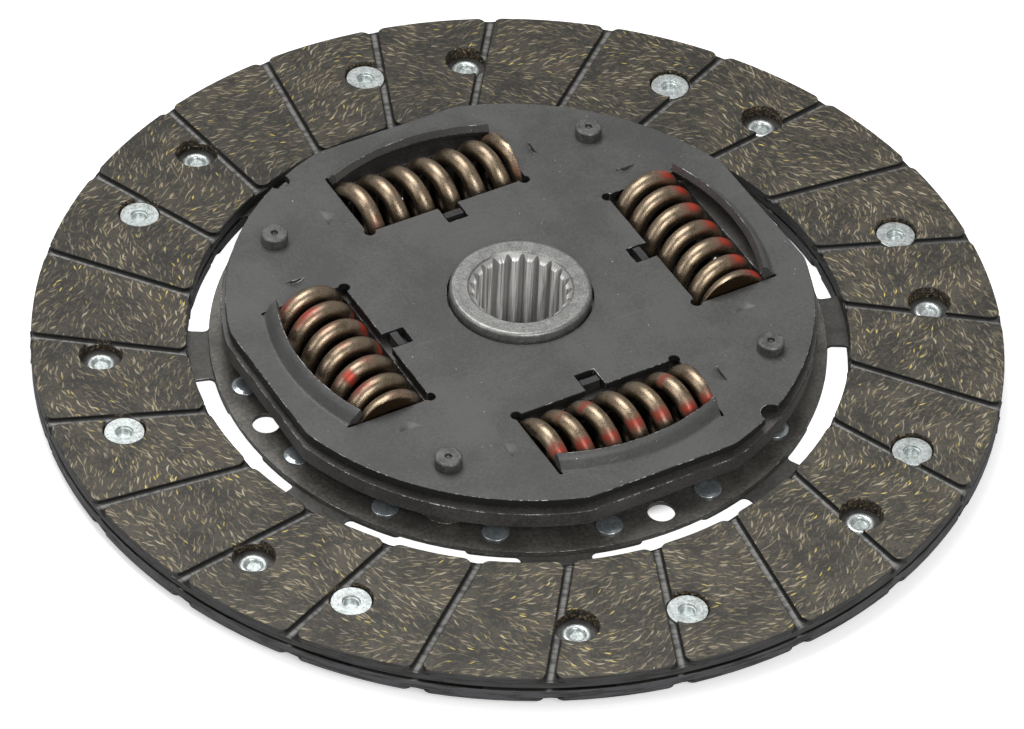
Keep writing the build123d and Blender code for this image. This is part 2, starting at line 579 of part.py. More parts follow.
# ================= spacer bolts =================
for number in range(WINDOW_COUNT):
    turn = radians(BOLT_AT + number * QUARTER)
    centre = (BOLT_RADIUS * cos(turn), BOLT_RADIUS * sin(turn), 0)
    head_top = COVER_TOP + BOLT_HEAD_T
    tail_low = CROWN_BOTTOM - BOLT_TAIL_T
    with BuildPart() as spacer_bolt:
        with BuildSketch(Plane(origin=centre, x_dir=(1, 0, 0), z_dir=(0, -1, 0))):
            with BuildLine():
                head = BOLT_HEAD_D / 2
                Polyline(
                    (0, head_top - BOLT_CENTRE_DEPTH),
                    (BOLT_CENTRE_D / 2, head_top - BOLT_CENTRE_DEPTH + BOLT_CENTRE_D / 2),
                    (BOLT_CENTRE_D / 2, head_top),
                    (head - BOLT_CHAMFER, head_top),
                    (head, head_top - BOLT_CHAMFER),
                    (head, COVER_TOP),
                    (BOLT_NECK_D / 2, COVER_TOP),
                    (BOLT_NECK_D / 2, COVER_BOTTOM),
                    (BOLT_BODY_D / 2, COVER_BOTTOM),
                    (BOLT_BODY_D / 2, CROWN_TOP),
                    (BOLT_NECK_D / 2, CROWN_TOP),
                    (BOLT_NECK_D / 2, CROWN_BOTTOM),
                    (head, CROWN_BOTTOM),
                    (head, tail_low + BOLT_CHAMFER),
                    (head - BOLT_CHAMFER, tail_low),
                    (0, tail_low),
                    close=True,
                )
            make_face()
        revolve(axis=Axis(centre, (0, 0, 1)))
    export_named(spacer_bolt.part, "spacer_bolt_" + str(number + 1))


# ================= friction pieces =================
bush_top = FLANGE_BOTTOM - SHOULDER_T - FACE_CLEAR
with BuildPart() as centring_bush:
    with BuildSketch(Plane.XZ):
        with BuildLine():
            Polyline(
                (HUB_R + BUSH_CLEAR, bush_top),
                (BUSH_FLANGE_R, bush_top),
                (BUSH_FLANGE_R, CROWN_TOP),
                (DRIVEN_BORE_R - FIT_CLEAR, CROWN_TOP),
                (DRIVEN_BORE_R - FIT_CLEAR, CROWN_BOTTOM - BUSH_LIP_T),
                (HUB_R + BUSH_CLEAR, CROWN_BOTTOM - BUSH_LIP_T),
                close=True,
            )
        make_face()
    revolve(axis=Axis.Z)
export_named(centring_bush.part, "centring_bush")

with BuildPart() as friction_ring:
    with BuildSketch(Plane.XY.offset(CROWN_TOP)):
        Circle(FRICTION_OUTER_R)
        Circle(FRICTION_INNER_R, mode=Mode.SUBTRACT)
    extrude(amount=PLATE_GAP - FACE_CLEAR)
export_named(friction_ring.part, "friction_ring_flywheel_side")

ring_low = FLANGE_TOP + FACE_CLEAR
with BuildPart() as pressure_ring:
    with BuildSketch(Plane.XY.offset(ring_low)):
        Circle(PRESSURE_RING_OUTER_R)
        Circle(PRESSURE_RING_INNER_R, mode=Mode.SUBTRACT)
    extrude(amount=PRESSURE_RING_T)
    with BuildSketch(Plane.XY.offset(ring_low)):
        with PolarLocations(0, WINDOW_COUNT):
            Rectangle(2 * PRESSURE_RING_OUTER_R, LUG_WIDTH, align=(Align.MIN, Align.CENTER))
        Circle(PRESSURE_RING_OUTER_R, mode=Mode.INTERSECT)
        Circle(PRESSURE_RING_OUTER_R - LUG_T, mode=Mode.SUBTRACT)
    extrude(amount=COVER_TOP - LUG_BELOW_COVER - ring_low)
export_named(pressure_ring.part, "friction_ring_gearbox_side")

washer_low = ring_low + PRESSURE_RING_T + EPS
with BuildPart() as disc_spring:
    with BuildSketch(Plane.XZ):
        with BuildLine():
            Polyline(
                (DISC_SPRING_OUTER_R, washer_low),
                (DISC_SPRING_OUTER_R, washer_low + DISC_SPRING_T),
                (DISC_SPRING_INNER_R, washer_low + DISC_SPRING_T + DISC_SPRING_RISE),
                (DISC_SPRING_INNER_R, washer_low + DISC_SPRING_RISE),
                close=True,
            )
        make_face()
    revolve(axis=Axis.Z)
export_named(disc_spring.part, "disc_spring")


# ================= damper springs =================
tip_over = (0.5 - SPRING_GROUND) * SPRING_WIRE_D
end_pitch = SPRING_WIRE_D + SPRING_END_GAP
active_pitch = (SPRING_LENGTH + 2 * tip_over - 2 * end_pitch) / SPRING_ACTIVE_TURNS
spring_mean_r = (SPRING_OD - SPRING_WIRE_D) / 2
for number in range(WINDOW_COUNT):
    with BuildPart() as coil:
        start = -tip_over
        for pitch, turns in ((end_pitch, 1), (active_pitch, SPRING_ACTIVE_TURNS), (end_pitch, 1)):
            with BuildLine() as path:
                Helix(pitch, pitch * turns, spring_mean_r, center=(0, 0, start))
            with BuildSketch(Plane.XZ.offset(0)):
                with Locations((spring_mean_r, start)):
                    Circle(SPRING_WIRE_D / 2)
            sweep(path=path.line, is_frenet=True)
            start = start + pitch * turns
        for level, thrown in ((0, Align.MAX), (SPRING_LENGTH, Align.MIN)):
            with Locations((0, 0, level)):
                cut = SPRING_OD + SPRING_WIRE_D
                Box(cut, cut, cut, align=(Align.CENTER, Align.CENTER, thrown), mode=Mode.SUBTRACT)
    turn = radians(number * QUARTER)
    along = Vector(sin(turn), -cos(turn), 0)
    foot = Vector(cos(turn), sin(turn), 0) * SPRING_RADIUS - along * SPRING_LENGTH / 2
    seat = Plane(origin=foot + Vector(0, 0, DAMPER_Z), x_dir=(0, 0, 1), z_dir=along)
    placed = seat.location * Rot(0, 0, SPRING_STARTS[number]) * coil.part
    export_named(placed, "damper_spring_" + str(number + 1))
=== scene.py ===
import json
import math
import bmesh
import bpy
import numpy as np
from mathutils import Matrix, Vector

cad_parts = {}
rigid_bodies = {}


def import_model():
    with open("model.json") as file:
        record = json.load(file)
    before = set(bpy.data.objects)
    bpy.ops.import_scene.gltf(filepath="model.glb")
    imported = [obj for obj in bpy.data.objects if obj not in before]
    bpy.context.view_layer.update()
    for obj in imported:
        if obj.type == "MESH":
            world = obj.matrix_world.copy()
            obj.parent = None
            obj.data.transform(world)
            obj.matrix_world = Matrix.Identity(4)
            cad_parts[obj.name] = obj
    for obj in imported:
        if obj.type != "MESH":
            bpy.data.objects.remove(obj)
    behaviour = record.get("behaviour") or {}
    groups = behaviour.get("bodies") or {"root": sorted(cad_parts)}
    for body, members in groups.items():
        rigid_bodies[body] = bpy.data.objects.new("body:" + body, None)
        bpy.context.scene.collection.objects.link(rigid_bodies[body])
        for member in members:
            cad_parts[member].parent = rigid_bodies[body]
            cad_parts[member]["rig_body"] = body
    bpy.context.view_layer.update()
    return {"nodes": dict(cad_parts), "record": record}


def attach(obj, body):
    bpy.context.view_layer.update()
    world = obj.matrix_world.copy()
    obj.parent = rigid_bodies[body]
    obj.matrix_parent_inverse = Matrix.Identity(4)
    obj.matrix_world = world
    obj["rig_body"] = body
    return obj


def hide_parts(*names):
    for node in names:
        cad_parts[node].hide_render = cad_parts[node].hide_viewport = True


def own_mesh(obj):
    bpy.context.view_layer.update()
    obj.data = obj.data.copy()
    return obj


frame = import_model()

mm = 0.001  # metres in a millimetre
toMillimetres = (1000.0, 1000.0, 1000.0)


def addNode(tree, kind, sockets=None, **settings):
    # one shader node: settings first, then a value or a link for each named socket
    node = tree.nodes.new(kind)
    for key, value in settings.items():
        setattr(node, key, value)
    for key, value in (sockets or {}).items():
        if isinstance(value, bpy.types.NodeSocket):
            tree.links.new(value, node.inputs[key])
        else:
            node.inputs[key].default_value = value
    return node


def mathNode(tree, operation, first, second=0.0, third=0.0):
    # one arithmetic step on numbers
    return addNode(tree, "ShaderNodeMath", {0: first, 1: second, 2: third}, operation=operation).outputs[0]


def vectorNode(tree, operation, first, second=(0.0, 0.0, 0.0)):
    # one arithmetic step on vectors
    return addNode(tree, "ShaderNodeVectorMath", {0: first, 1: second}, operation=operation).outputs[0]


def joined(tree, x=0.0, y=0.0, z=0.0):
    # a vector from three numbers
    return addNode(tree, "ShaderNodeCombineXYZ", {"X": x, "Y": y, "Z": z}).outputs[0]


def parted(tree, vector):
    # the X, Y and Z of a vector
    return addNode(tree, "ShaderNodeSeparateXYZ", {"Vector": vector}).outputs


def fade(tree, value, low, high, toLow=0.0, toHigh=1.0):
    # smooth step from toLow at low to toHigh at high
    sockets = {"Value": value, "From Min": low, "From Max": high, "To Min": toLow, "To Max": toHigh}
    return addNode(tree, "ShaderNodeMapRange", sockets, interpolation_type="SMOOTHSTEP").outputs[0]


def mixColour(tree, factor, first, second):
    # colour between first and second
    node = addNode(tree, "ShaderNodeMix", data_type="RGBA")
    for key, value in ((0, factor), (6, first), (7, second)):
        if isinstance(value, bpy.types.NodeSocket):
            tree.links.new(value, node.inputs[key])
        else:
            node.inputs[key].default_value = value if key == 0 else (*value, 1.0)[:4]
    return node.outputs[2]


def noise(tree, vector, scale, detail=3.0, roughness=0.5, distortion=0.0):
    # fractal noise, 0 to 1; scale is in waves per unit of the vector
    sockets = {"Vector": vector, "Scale": scale, "Detail": detail, "Roughness": roughness,
               "Distortion": distortion}
    return addNode(tree, "ShaderNodeTexNoise", sockets).outputs["Fac"]


def bumpNode(tree, height, strength, distance):
    # surface normal from a height
    return addNode(tree, "ShaderNodeBump", {"Height": height, "Strength": strength,
                                            "Distance": distance * mm}).outputs[0]


def startGroup(name, inputs, outputs):
    # empty shader group with named sockets
    tree = bpy.data.node_groups.new(name, "ShaderNodeTree")
    for key, kind, value in inputs:
        socket = tree.interface.new_socket(name=key, in_out="INPUT", socket_type=kind)
        if value is not None:
            socket.default_value = value
    for key in outputs:
        tree.interface.new_socket(name=key, in_out="OUTPUT", socket_type="NodeSocketFloat")
    return tree, tree.nodes.new("NodeGroupInput").outputs, tree.nodes.new("NodeGroupOutput").inputs


def placed(tree, group, sockets):
    # a group node with its sockets filled
    node = tree.nodes.new("ShaderNodeGroup")
    node.node_tree = group
    for key, value in sockets.items():
        if isinstance(value, bpy.types.NodeSocket):
            tree.links.new(value, node.inputs[key])
        else:
            node.inputs[key].default_value = value
    return node.outputs


def startMaterial(name, **values):
    # material with one Principled shader; plain values go on its own sockets
    material = bpy.data.materials.new(name)
    material.use_nodes = True
    tree = material.node_tree
    shader = tree.nodes["Principled BSDF"]
    for key, value in values.items():
        shader.inputs[key.replace("_", " ")].default_value = value
    return material, tree, shader


def objectMillimetres(tree):
    # Object coordinates in millimetres
    place = addNode(tree, "ShaderNodeTexCoord").outputs["Object"]
    return vectorNode(tree, "MULTIPLY", place, toMillimetres)


def fromAxis(tree, part):
    # distance from the Z axis and angle round it
    radius = mathNode(tree, "SQRT", mathNode(tree, "MULTIPLY_ADD", part["X"], part["X"],
                                             mathNode(tree, "MULTIPLY", part["Y"], part["Y"])))
    return radius, mathNode(tree, "ARCTAN2", part["Y"], part["X"])


numberSocket, vectorSocket = "NodeSocketFloat", "NodeSocketVector"
print("building shader groups")


# the sway of the heading over the disc, in radians per mm across and along it, and the reach of its bend in
# radians; where a fibre's soft edge starts and how thin its tips get, as shares of its half width
fibreShape = {"sway": 0.13, "swayBend": 0.08, "swayReach": 2.0, "softEdge": 0.35, "thinnest": 0.01}


def makeFibreGroup():
    # one layer of short curved fibres: each cell of a flat Voronoi pattern holds one fibre, a spindle bent
    # along a parabola; it lies along the ring, led off by a sine of its place and by chance
    usual = {"Cell": 4.0, "Length": 2.0, "Width": 0.12, "Curl": 0.1, "Spread": 0.7, "Swirl": 1.0,
             "Share": 0.6, "Seed": 0.0}
    inputs = [("Point", vectorSocket, None)] + [(key, numberSocket, usual[key]) for key in usual]
    tree, given, out = startGroup("shortFibres", inputs, ["Mask", "Tone"])
    seed = joined(tree, given["Seed"], given["Seed"])
    shifted = vectorNode(tree, "ADD", given["Point"], seed)
    scale = mathNode(tree, "DIVIDE", 1.0, given["Cell"])
    cells = addNode(tree, "ShaderNodeTexVoronoi", {"Vector": shifted, "Scale": scale},
                    voronoi_dimensions="2D")
    local = vectorNode(tree, "SUBTRACT", shifted, cells.outputs["Position"])
    chance = addNode(tree, "ShaderNodeSeparateColor", {"Color": cells.outputs["Color"]}).outputs
    home = parted(tree, vectorNode(tree, "SUBTRACT", cells.outputs["Position"], seed))
    swing = mathNode(tree, "SINE", mathNode(tree, "MULTIPLY", home["Y"], fibreShape["swayBend"]))
    swing = mathNode(tree, "MULTIPLY", swing, fibreShape["swayReach"])
    swirls = mathNode(tree, "SINE", mathNode(tree, "MULTIPLY_ADD", home["X"], fibreShape["sway"], swing))
    heading = mathNode(tree, "MULTIPLY_ADD", swirls, given["Swirl"], fromAxis(tree, home)[1])
    swing = mathNode(tree, "MULTIPLY", mathNode(tree, "SUBTRACT", chance["Red"], 0.5), given["Spread"])
    heading = mathNode(tree, "MULTIPLY_ADD", swing, 2.0, heading)
    heading = mathNode(tree, "SUBTRACT", -math.pi / 2, heading)
    turned = addNode(tree, "ShaderNodeVectorRotate", {"Vector": local, "Angle": heading},
                     rotation_type="Z_AXIS")
    turned = parted(tree, turned.outputs[0])
    bend = mathNode(tree, "MULTIPLY", mathNode(tree, "SUBTRACT", chance["Green"], 0.5), given["Curl"])
    arc = mathNode(tree, "MULTIPLY", mathNode(tree, "MULTIPLY", turned["X"], turned["X"]), bend)
    across = mathNode(tree, "ABSOLUTE", mathNode(tree, "SUBTRACT", turned["Y"], arc))
    along = mathNode(tree, "DIVIDE", turned["X"], given["Length"])
    taper = mathNode(tree, "SUBTRACT", 1.0, mathNode(tree, "MULTIPLY", along, along))
    taper = mathNode(tree, "MAXIMUM", taper, fibreShape["thinnest"])
    line = mathNode(tree, "DIVIDE", across, mathNode(tree, "MULTIPLY", taper, given["Width"]))
    there = mathNode(tree, "LESS_THAN", chance["Blue"], given["Share"])
    solid = fade(tree, line, fibreShape["softEdge"], 1.0, 1.0, 0.0)
    tree.links.new(mathNode(tree, "MULTIPLY", solid, there), out["Mask"])
    tree.links.new(chance["Green"], out["Tone"])
    return tree


metalPattern = {
    # stretch in waves per mm, distortion, noise at which a scratch starts and is full
    "scratches": [((0.05, 2.6, 0.6), 0.25, 0.71, 0.76), ((2.1, 0.07, 0.6), 0.35, 0.73, 0.78)],
    # waves per mm, noise at which they start and are full
    "breaks": (0.07, 0.50, 0.60), "specks": (1.7, 0.80, 0.84),
    "grainInTone": 0.45, "grainInRough": 0.5, "pitsInHeight": 0.35, "pitScale": 4.0,
}


def makeMetalGroup():
    # cloudy tone, fine grain and height for sheet and wire: three sizes of noise added up, with a few thin
    # broken scratches from noise drawn out in one direction, and bright specks
    look = metalPattern
    inputs = [("Point", vectorSocket, None), ("Cloud", numberSocket, 0.08), ("Grain", numberSocket, 2.5)]
    tree, given, out = startGroup("metalSurface", inputs, ["Tone", "Rough", "Height", "Scratch", "Speck"])
    point = given["Point"]
    cloud = noise(tree, point, given["Cloud"], 4.0, 0.6, 0.4)
    grain = noise(tree, point, given["Grain"], 3.0, 0.6)
    pits = noise(tree, point, mathNode(tree, "MULTIPLY", given["Grain"], look["pitScale"]), 2.0, 0.5)
    rest = mathNode(tree, "MULTIPLY", cloud, 1.0 - look["grainInTone"])
    tree.links.new(mathNode(tree, "MULTIPLY_ADD", grain, look["grainInTone"], rest), out["Tone"])
    rest = mathNode(tree, "MULTIPLY", pits, 1.0 - look["grainInRough"])
    tree.links.new(mathNode(tree, "MULTIPLY_ADD", grain, look["grainInRough"], rest), out["Rough"])
    tree.links.new(mathNode(tree, "MULTIPLY_ADD", pits, look["pitsInHeight"], grain), out["Height"])
    scratches = []
    for stretch, distortion, start, full in look["scratches"]:
        drawn = vectorNode(tree, "MULTIPLY", point, stretch)
        scratches.append(fade(tree, noise(tree, drawn, 1.0, 2.0, 0.4, distortion), start, full))
    scale, start, full = look["breaks"]
    broken = fade(tree, noise(tree, point, scale, 2.0), start, full)
    lines = mathNode(tree, "MAXIMUM", scratches[0], scratches[1])
    tree.links.new(mathNode(tree, "MULTIPLY", lines, broken), out["Scratch"])
    scale, start, full = look["specks"]
    tree.links.new(fade(tree, noise(tree, point, scale, 1.0, 0.3), start, full), out["Speck"])
    return tree


def makeHoleGroup():
    # distance from the nearest of the holes spaced evenly round the Z axis
    inputs = [("Point", vectorSocket, None), ("Radius", numberSocket, 98.0), ("First", numberSocket, 0.0),
              ("Step", numberSocket, 45.0)]
    tree, given, out = startGroup("holeDistance", inputs, ["Distance"])
    radius, angle = fromAxis(tree, parted(tree, given["Point"]))
    degrees = mathNode(tree, "SUBTRACT", mathNode(tree, "DEGREES", angle), given["First"])
    steps = mathNode(tree, "DIVIDE", degrees, given["Step"])
    away = mathNode(tree, "SUBTRACT", steps, mathNode(tree, "ROUND", steps))
    away = mathNode(tree, "RADIANS", mathNode(tree, "MULTIPLY", away, given["Step"]))
    outwards = mathNode(tree, "MULTIPLY", radius, mathNode(tree, "COSINE", away))
    outwards = mathNode(tree, "SUBTRACT", outwards, given["Radius"])
    sideways = mathNode(tree, "MULTIPLY", radius, mathNode(tree, "SINE", away))
    square = mathNode(tree, "MULTIPLY", sideways, sideways)
    square = mathNode(tree, "MULTIPLY_ADD", outwards, outwards, square)
    tree.links.new(mathNode(tree, "SQRT", square), out["Distance"])
    return tree


def makeGrooveGroup():
    # distance across the nearest groove and along it: the grooves are straight lines, a step apart round the
    # Z axis, which all pass it at the same offset
    inputs = [("Point", vectorSocket, None), ("Offset", numberSocket, 21.0), ("First", numberSocket, 0.0),
              ("Step", numberSocket, 15.0)]
    tree, given, out = startGroup("grooveLines", inputs, ["Across", "Along"])
    radius, angle = fromAxis(tree, parted(tree, given["Point"]))
    wide = mathNode(tree, "MAXIMUM", radius, 30.0)  # the arcsine has no value near the axis
    lead = mathNode(tree, "ARCSINE", mathNode(tree, "DIVIDE", given["Offset"], wide))
    first = mathNode(tree, "SUBTRACT", mathNode(tree, "DEGREES", angle), given["First"])
    steps = mathNode(tree, "SUBTRACT", first, mathNode(tree, "DEGREES", lead))
    steps = mathNode(tree, "ROUND", mathNode(tree, "DIVIDE", steps, given["Step"]))
    turn = mathNode(tree, "SUBTRACT", first, mathNode(tree, "MULTIPLY", steps, given["Step"]))
    turn = mathNode(tree, "RADIANS", turn)
    across = mathNode(tree, "MULTIPLY", radius, mathNode(tree, "SINE", turn))
    tree.links.new(mathNode(tree, "SUBTRACT", across, given["Offset"]), out["Across"])
    tree.links.new(mathNode(tree, "MULTIPLY", radius, mathNode(tree, "COSINE", turn)), out["Along"])
    return tree


fibreGroup, metalGroup = makeFibreGroup(), makeMetalGroup()
holeGroup, grooveGroup = makeHoleGroup(), makeGrooveGroup()

# colours are linear, lengths in millimetres
liningLook = {
    "dark": (0.015, 0.0135, 0.0105), "middle": (0.066, 0.057, 0.040), "tan": (0.32, 0.260, 0.150),
    "light": (0.47, 0.41, 0.285), "gold": (0.76, 0.60, 0.13),
    "groove": (0.200, 0.196, 0.186), "grooveDark": (0.020, 0.020, 0.019), "line": (0.006, 0.006, 0.006),
    "rimAbove": (0.058, 0.057, 0.057), "rimBelow": (0.090, 0.089, 0.095), "holeWall": (0.13, 0.092, 0.048),
    "padTop": 3.7, "grooveFloor": 2.4, "outerEdge": 113.4, "innerEdge": 78.4,
    # radius, azimuth of the first open and the first riveted hole, step
    "rivets": (98.0, 23.4, 38.4, 45.0), "holeEdge": 5.35,
    "grooves": (21.0, 8.6, 15.0),  # offset from the axis, azimuth of the first, step
    # painted light: a pale film towards -Y; painted shade: darker towards +Y
    "dust": 0.06, "dustColour": (0.34, 0.32, 0.27), "clean": 0.20,
    "roughness": (0.46, 0.68), "grooveGloss": 0.2, "bump": (0.6, 0.14), "speckHeight": 0.6, "dish": 3.0,
    "cloudScale": 0.12, "speckScale": 1.5, "goldPatchScale": 0.07, "rippleScale": 0.75,  # waves per mm
    "rimLayers": (0.12, 0.12, 1.3), "rippleAcross": 0.25,
    "cloudShare": 0.45, "speckShare": 0.75,
    "fibreTone": (0.6, 0.4),  # share of a fibre's strength that varies by chance, share that stays
    "floorShares": (0.75, 0.35),  # how far down a groove its lower look is full and begins, as shares
    # smooth steps: where each starts and ends and, with four numbers, its values before and after
    "binder": (0.50, 0.70), "fibrePatches": (0.40, 0.60, 0.45, 1.0), "goldPatches": (0.44, 0.62, 0.15, 1.0),
    "dustReach": (-110.0, 90.0), "dustPatches": (0.35, 0.60, 0.6, 1.0), "cleanReach": (0.0, 100.0),
    "sheen": (0.20, 0.92, 1.0, 0.05), "ripples": (0.36, 0.58, 0.3, 1.0), "levelFloor": (0.75, 0.95),
    "steepWall": (0.80, 0.96, 1.0, 0.0), "steepRim": (0.30, 0.85, 1.0, 0.0), "layers": (0.36, 0.56, 0.7, 0.0),
    "belowMiddle": (-0.5, 0.5, 1.0, 0.0), "fuzz": (0.42, 0.66), "fuzzFibres": (0.62, 0.70),
    "roughGrain": (0.3, 0.7),
    # cell, half length, half width, curl, spread, swirl, share, seed, colour, strength
    "fibres": [
        (1.8, 0.95, 0.23, 0.50, 0.55, 0.60, 0.56, 17.0, "tan", 0.70),
        (2.5, 1.25, 0.27, 0.40, 0.36, 0.60, 0.60, 41.0, "tan", 1.0),
        (2.9, 1.25, 0.29, 0.40, 0.42, 0.60, 0.50, 57.0, "light", 0.95),
        (3.0, 0.85, 0.24, 0.40, 0.55, 0.60, 0.38, 71.0, "gold", 0.95),
        (4.6, 2.60, 0.18, 0.14, 0.50, 0.60, 0.45, 97.0, "light", 0.70),
    ],
}


def layFibres(tree, point, cloud, base):
    # layers of fibres over the binder, thicker in some patches; the gold ones have patches of their own
    look = liningLook
    usual = fade(tree, cloud, *look["fibrePatches"])
    golden = fade(tree, noise(tree, point, look["goldPatchScale"], 2.0), *look["goldPatches"])
    for cell, length, width, curl, spread, swirl, share, seed, shade, strength in look["fibres"]:
        fibre = placed(tree, fibreGroup, {"Point": point, "Cell": cell, "Length": length, "Width": width,
                       "Curl": curl, "Spread": spread, "Swirl": swirl, "Share": share, "Seed": seed})
        amount = mathNode(tree, "MULTIPLY_ADD", fibre["Tone"], *look["fibreTone"])
        amount = mathNode(tree, "MULTIPLY", mathNode(tree, "MULTIPLY", amount, strength), fibre["Mask"])
        amount = mathNode(tree, "MULTIPLY", amount, golden if shade == "gold" else usual)
        base = mixColour(tree, amount, base, look[shade])
    return base


def paintFrontLightBackShade(tree, part, cloud, base):
    # painted light and shade across the disc: a pale film, thicker in patches, towards -Y, and darker towards
    # +Y
    look = liningLook
    litFront = fade(tree, part["Y"], *look["dustReach"], look["dust"], 0.0)
    litFront = mathNode(tree, "MULTIPLY", litFront, fade(tree, cloud, *look["dustPatches"]))
    base = mixColour(tree, litFront, base, look["dustColour"])
    return mixColour(tree, fade(tree, part["Y"], *look["cleanReach"], 0.0, look["clean"]), base, look["dark"])


def shadeGrooves(tree, point, part, upward, side, base):
    # a dished floor with ripples across; its colour is a painted highlight, a light stripe along the middle
    # that fades to dark at the sides, under upper walls painted near-black as painted shade
    look = liningLook
    offset, start, step = look["grooves"]
    groove = placed(tree, grooveGroup, {"Point": point, "Offset": offset, "First": start, "Step": step})
    across = mathNode(tree, "ABSOLUTE", groove["Across"])
    rippled = joined(tree, mathNode(tree, "MULTIPLY", groove["Across"], look["rippleAcross"]),
                     groove["Along"], part["Z"])
    ripple = noise(tree, rippled, look["rippleScale"], 2.0, 0.55)
    # painted highlight: a light stripe along the middle of each groove floor
    sheen = mathNode(tree, "MULTIPLY", fade(tree, across, *look["sheen"]),
                     fade(tree, ripple, *look["ripples"]))
    floorShade = mixColour(tree, sheen, look["grooveDark"], look["groove"])
    depth = look["padTop"] - look["grooveFloor"]
    level = mathNode(tree, "ABSOLUTE", part["Z"])
    full, start = (look["padTop"] - share * depth for share in look["floorShares"])
    low = fade(tree, level, full, start, 1.0, 0.0)
    floor = mathNode(tree, "MULTIPLY", low, fade(tree, upward, *look["levelFloor"]))
    base = mixColour(tree, floor, base, floorShade)
    # painted shade: the upper part of each groove wall is painted near-black
    base = mixColour(tree, side, base, mixColour(tree, low, look["line"], floorShade))
    return base, floor, mathNode(tree, "MULTIPLY", across, across)


def shadeHoles(tree, point, speck, side, base):
    # fuzzy brown walls with bits of fibre
    look = liningLook
    distance, first, second, step = look["rivets"]
    holes = [placed(tree, holeGroup, {"Point": point, "Radius": distance, "First": start, "Step": step})
             for start in (first, second)]
    near = mathNode(tree, "MINIMUM", holes[0]["Distance"], holes[1]["Distance"])
    wall = mathNode(tree, "MULTIPLY", side, mathNode(tree, "LESS_THAN", near, look["holeEdge"]))
    fuzz = mixColour(tree, fade(tree, speck, *look["fuzz"]), look["line"], look["holeWall"])
    fuzz = mixColour(tree, fade(tree, speck, *look["fuzzFibres"]), fuzz, look["light"])
    return mixColour(tree, wall, base, fuzz)


def shadeRims(tree, point, part, upward, rim, base):
    # pressed layers, the lower facing a little lighter
    look = liningLook
    layers = noise(tree, vectorNode(tree, "MULTIPLY", point, look["rimLayers"]), 1.0, 2.0, 0.6)
    below = fade(tree, part["Z"], *look["belowMiddle"])
    shade = mixColour(tree, below, look["rimAbove"], look["rimBelow"])
    shade = mixColour(tree, fade(tree, layers, *look["layers"]), shade, look["dark"])
    steep = mathNode(tree, "MULTIPLY", fade(tree, upward, *look["steepRim"]), rim)
    return mixColour(tree, steep, base, shade)


def makeLining():
    # moulded lining: speckled binder under layers of fibres, with painted light towards -Y and painted shade
    # towards +Y;
    # grooves, rivet holes and rims have tones of their own
    look = liningLook
    material, tree, shader = startMaterial("frictionLining", Specular_IOR_Level=0.45)
    point = objectMillimetres(tree)
    part = parted(tree, point)
    cloud = noise(tree, point, look["cloudScale"], 3.0, 0.6)
    speck = noise(tree, point, look["speckScale"], 2.0, 0.75)
    tone = mathNode(tree, "MULTIPLY", speck, look["speckShare"])
    tone = mathNode(tree, "MULTIPLY_ADD", cloud, look["cloudShare"], tone)
    base = mixColour(tree, fade(tree, tone, *look["binder"]), look["dark"], look["middle"])
    base = paintFrontLightBackShade(tree, part, cloud, layFibres(tree, point, cloud, base))
    normal = addNode(tree, "ShaderNodeNewGeometry").outputs["True Normal"]
    upward = mathNode(tree, "ABSOLUTE", parted(tree, normal)["Z"])
    radius = fromAxis(tree, part)[0]
    rim = mathNode(tree, "MAXIMUM", mathNode(tree, "GREATER_THAN", radius, look["outerEdge"]),
                   mathNode(tree, "LESS_THAN", radius, look["innerEdge"]))
    side = mathNode(tree, "MULTIPLY", fade(tree, upward, *look["steepWall"]),
                    mathNode(tree, "SUBTRACT", 1.0, rim))
    base, floor, dished = shadeGrooves(tree, point, part, upward, side, base)
    base = shadeHoles(tree, point, speck, side, base)
    base = shadeRims(tree, point, part, upward, rim, base)
    tree.links.new(base, shader.inputs["Base Color"])
    rough = fade(tree, speck, *look["roughGrain"], *look["roughness"])
    rough = mathNode(tree, "MULTIPLY_ADD", floor, -look["grooveGloss"], rough)
    tree.links.new(rough, shader.inputs["Roughness"])
    height = mathNode(tree, "MULTIPLY", speck, look["speckHeight"])
    depth = mathNode(tree, "MULTIPLY", floor, look["dish"])
    height = mathNode(tree, "MULTIPLY_ADD", dished, depth, height)
    tree.links.new(bumpNode(tree, height, *look["bump"]), shader.inputs["Normal"])
    return material


metalLooks = {
    # dark, light, metallic, roughness from and to, cloud and grain (waves per mm), bump, its depth in mm
    "coverSteel": ((0.060, 0.060, 0.059), (0.093, 0.093, 0.090), 0.25, 0.42, 0.56, 0.05, 1.6, 0.22, 0.05),
    "wornEdge": ((0.050, 0.050, 0.049), (0.46, 0.46, 0.45), 0.6, 0.30, 0.46, 0.22, 1.5, 0.20, 0.05),
    "flangeSteel": ((0.070, 0.067, 0.063), (0.140, 0.134, 0.126), 0.45, 0.34, 0.50, 0.06, 1.4, 0.22, 0.05),
    "ringSteel": ((0.085, 0.080, 0.072), (0.175, 0.166, 0.150), 0.5, 0.30, 0.46, 0.08, 1.2, 0.18, 0.05),
    "segmentSteel": ((0.056, 0.055, 0.051), (0.092, 0.090, 0.084), 0.5, 0.32, 0.46, 0.10, 1.5, 0.15, 0.05),
    "rivetZinc": ((0.44, 0.48, 0.47), (0.68, 0.73, 0.72), 0.7, 0.26, 0.42, 0.40, 1.4, 0.40, 0.10),
    "smallRivet": ((0.36, 0.40, 0.42), (0.58, 0.64, 0.67), 0.75, 0.16, 0.26, 0.40, 1.4, 0.20, 0.08),
    "boltSteel": ((0.065, 0.064, 0.063), (0.150, 0.148, 0.145), 0.5, 0.34, 0.50, 0.40, 2.4, 0.40, 0.08),
    "frictionPolymer": ((0.012, 0.012, 0.012), (0.035, 0.035, 0.035), 0.0, 0.30, 0.45, 0.30, 2.0, 0.20, 0.05),
}
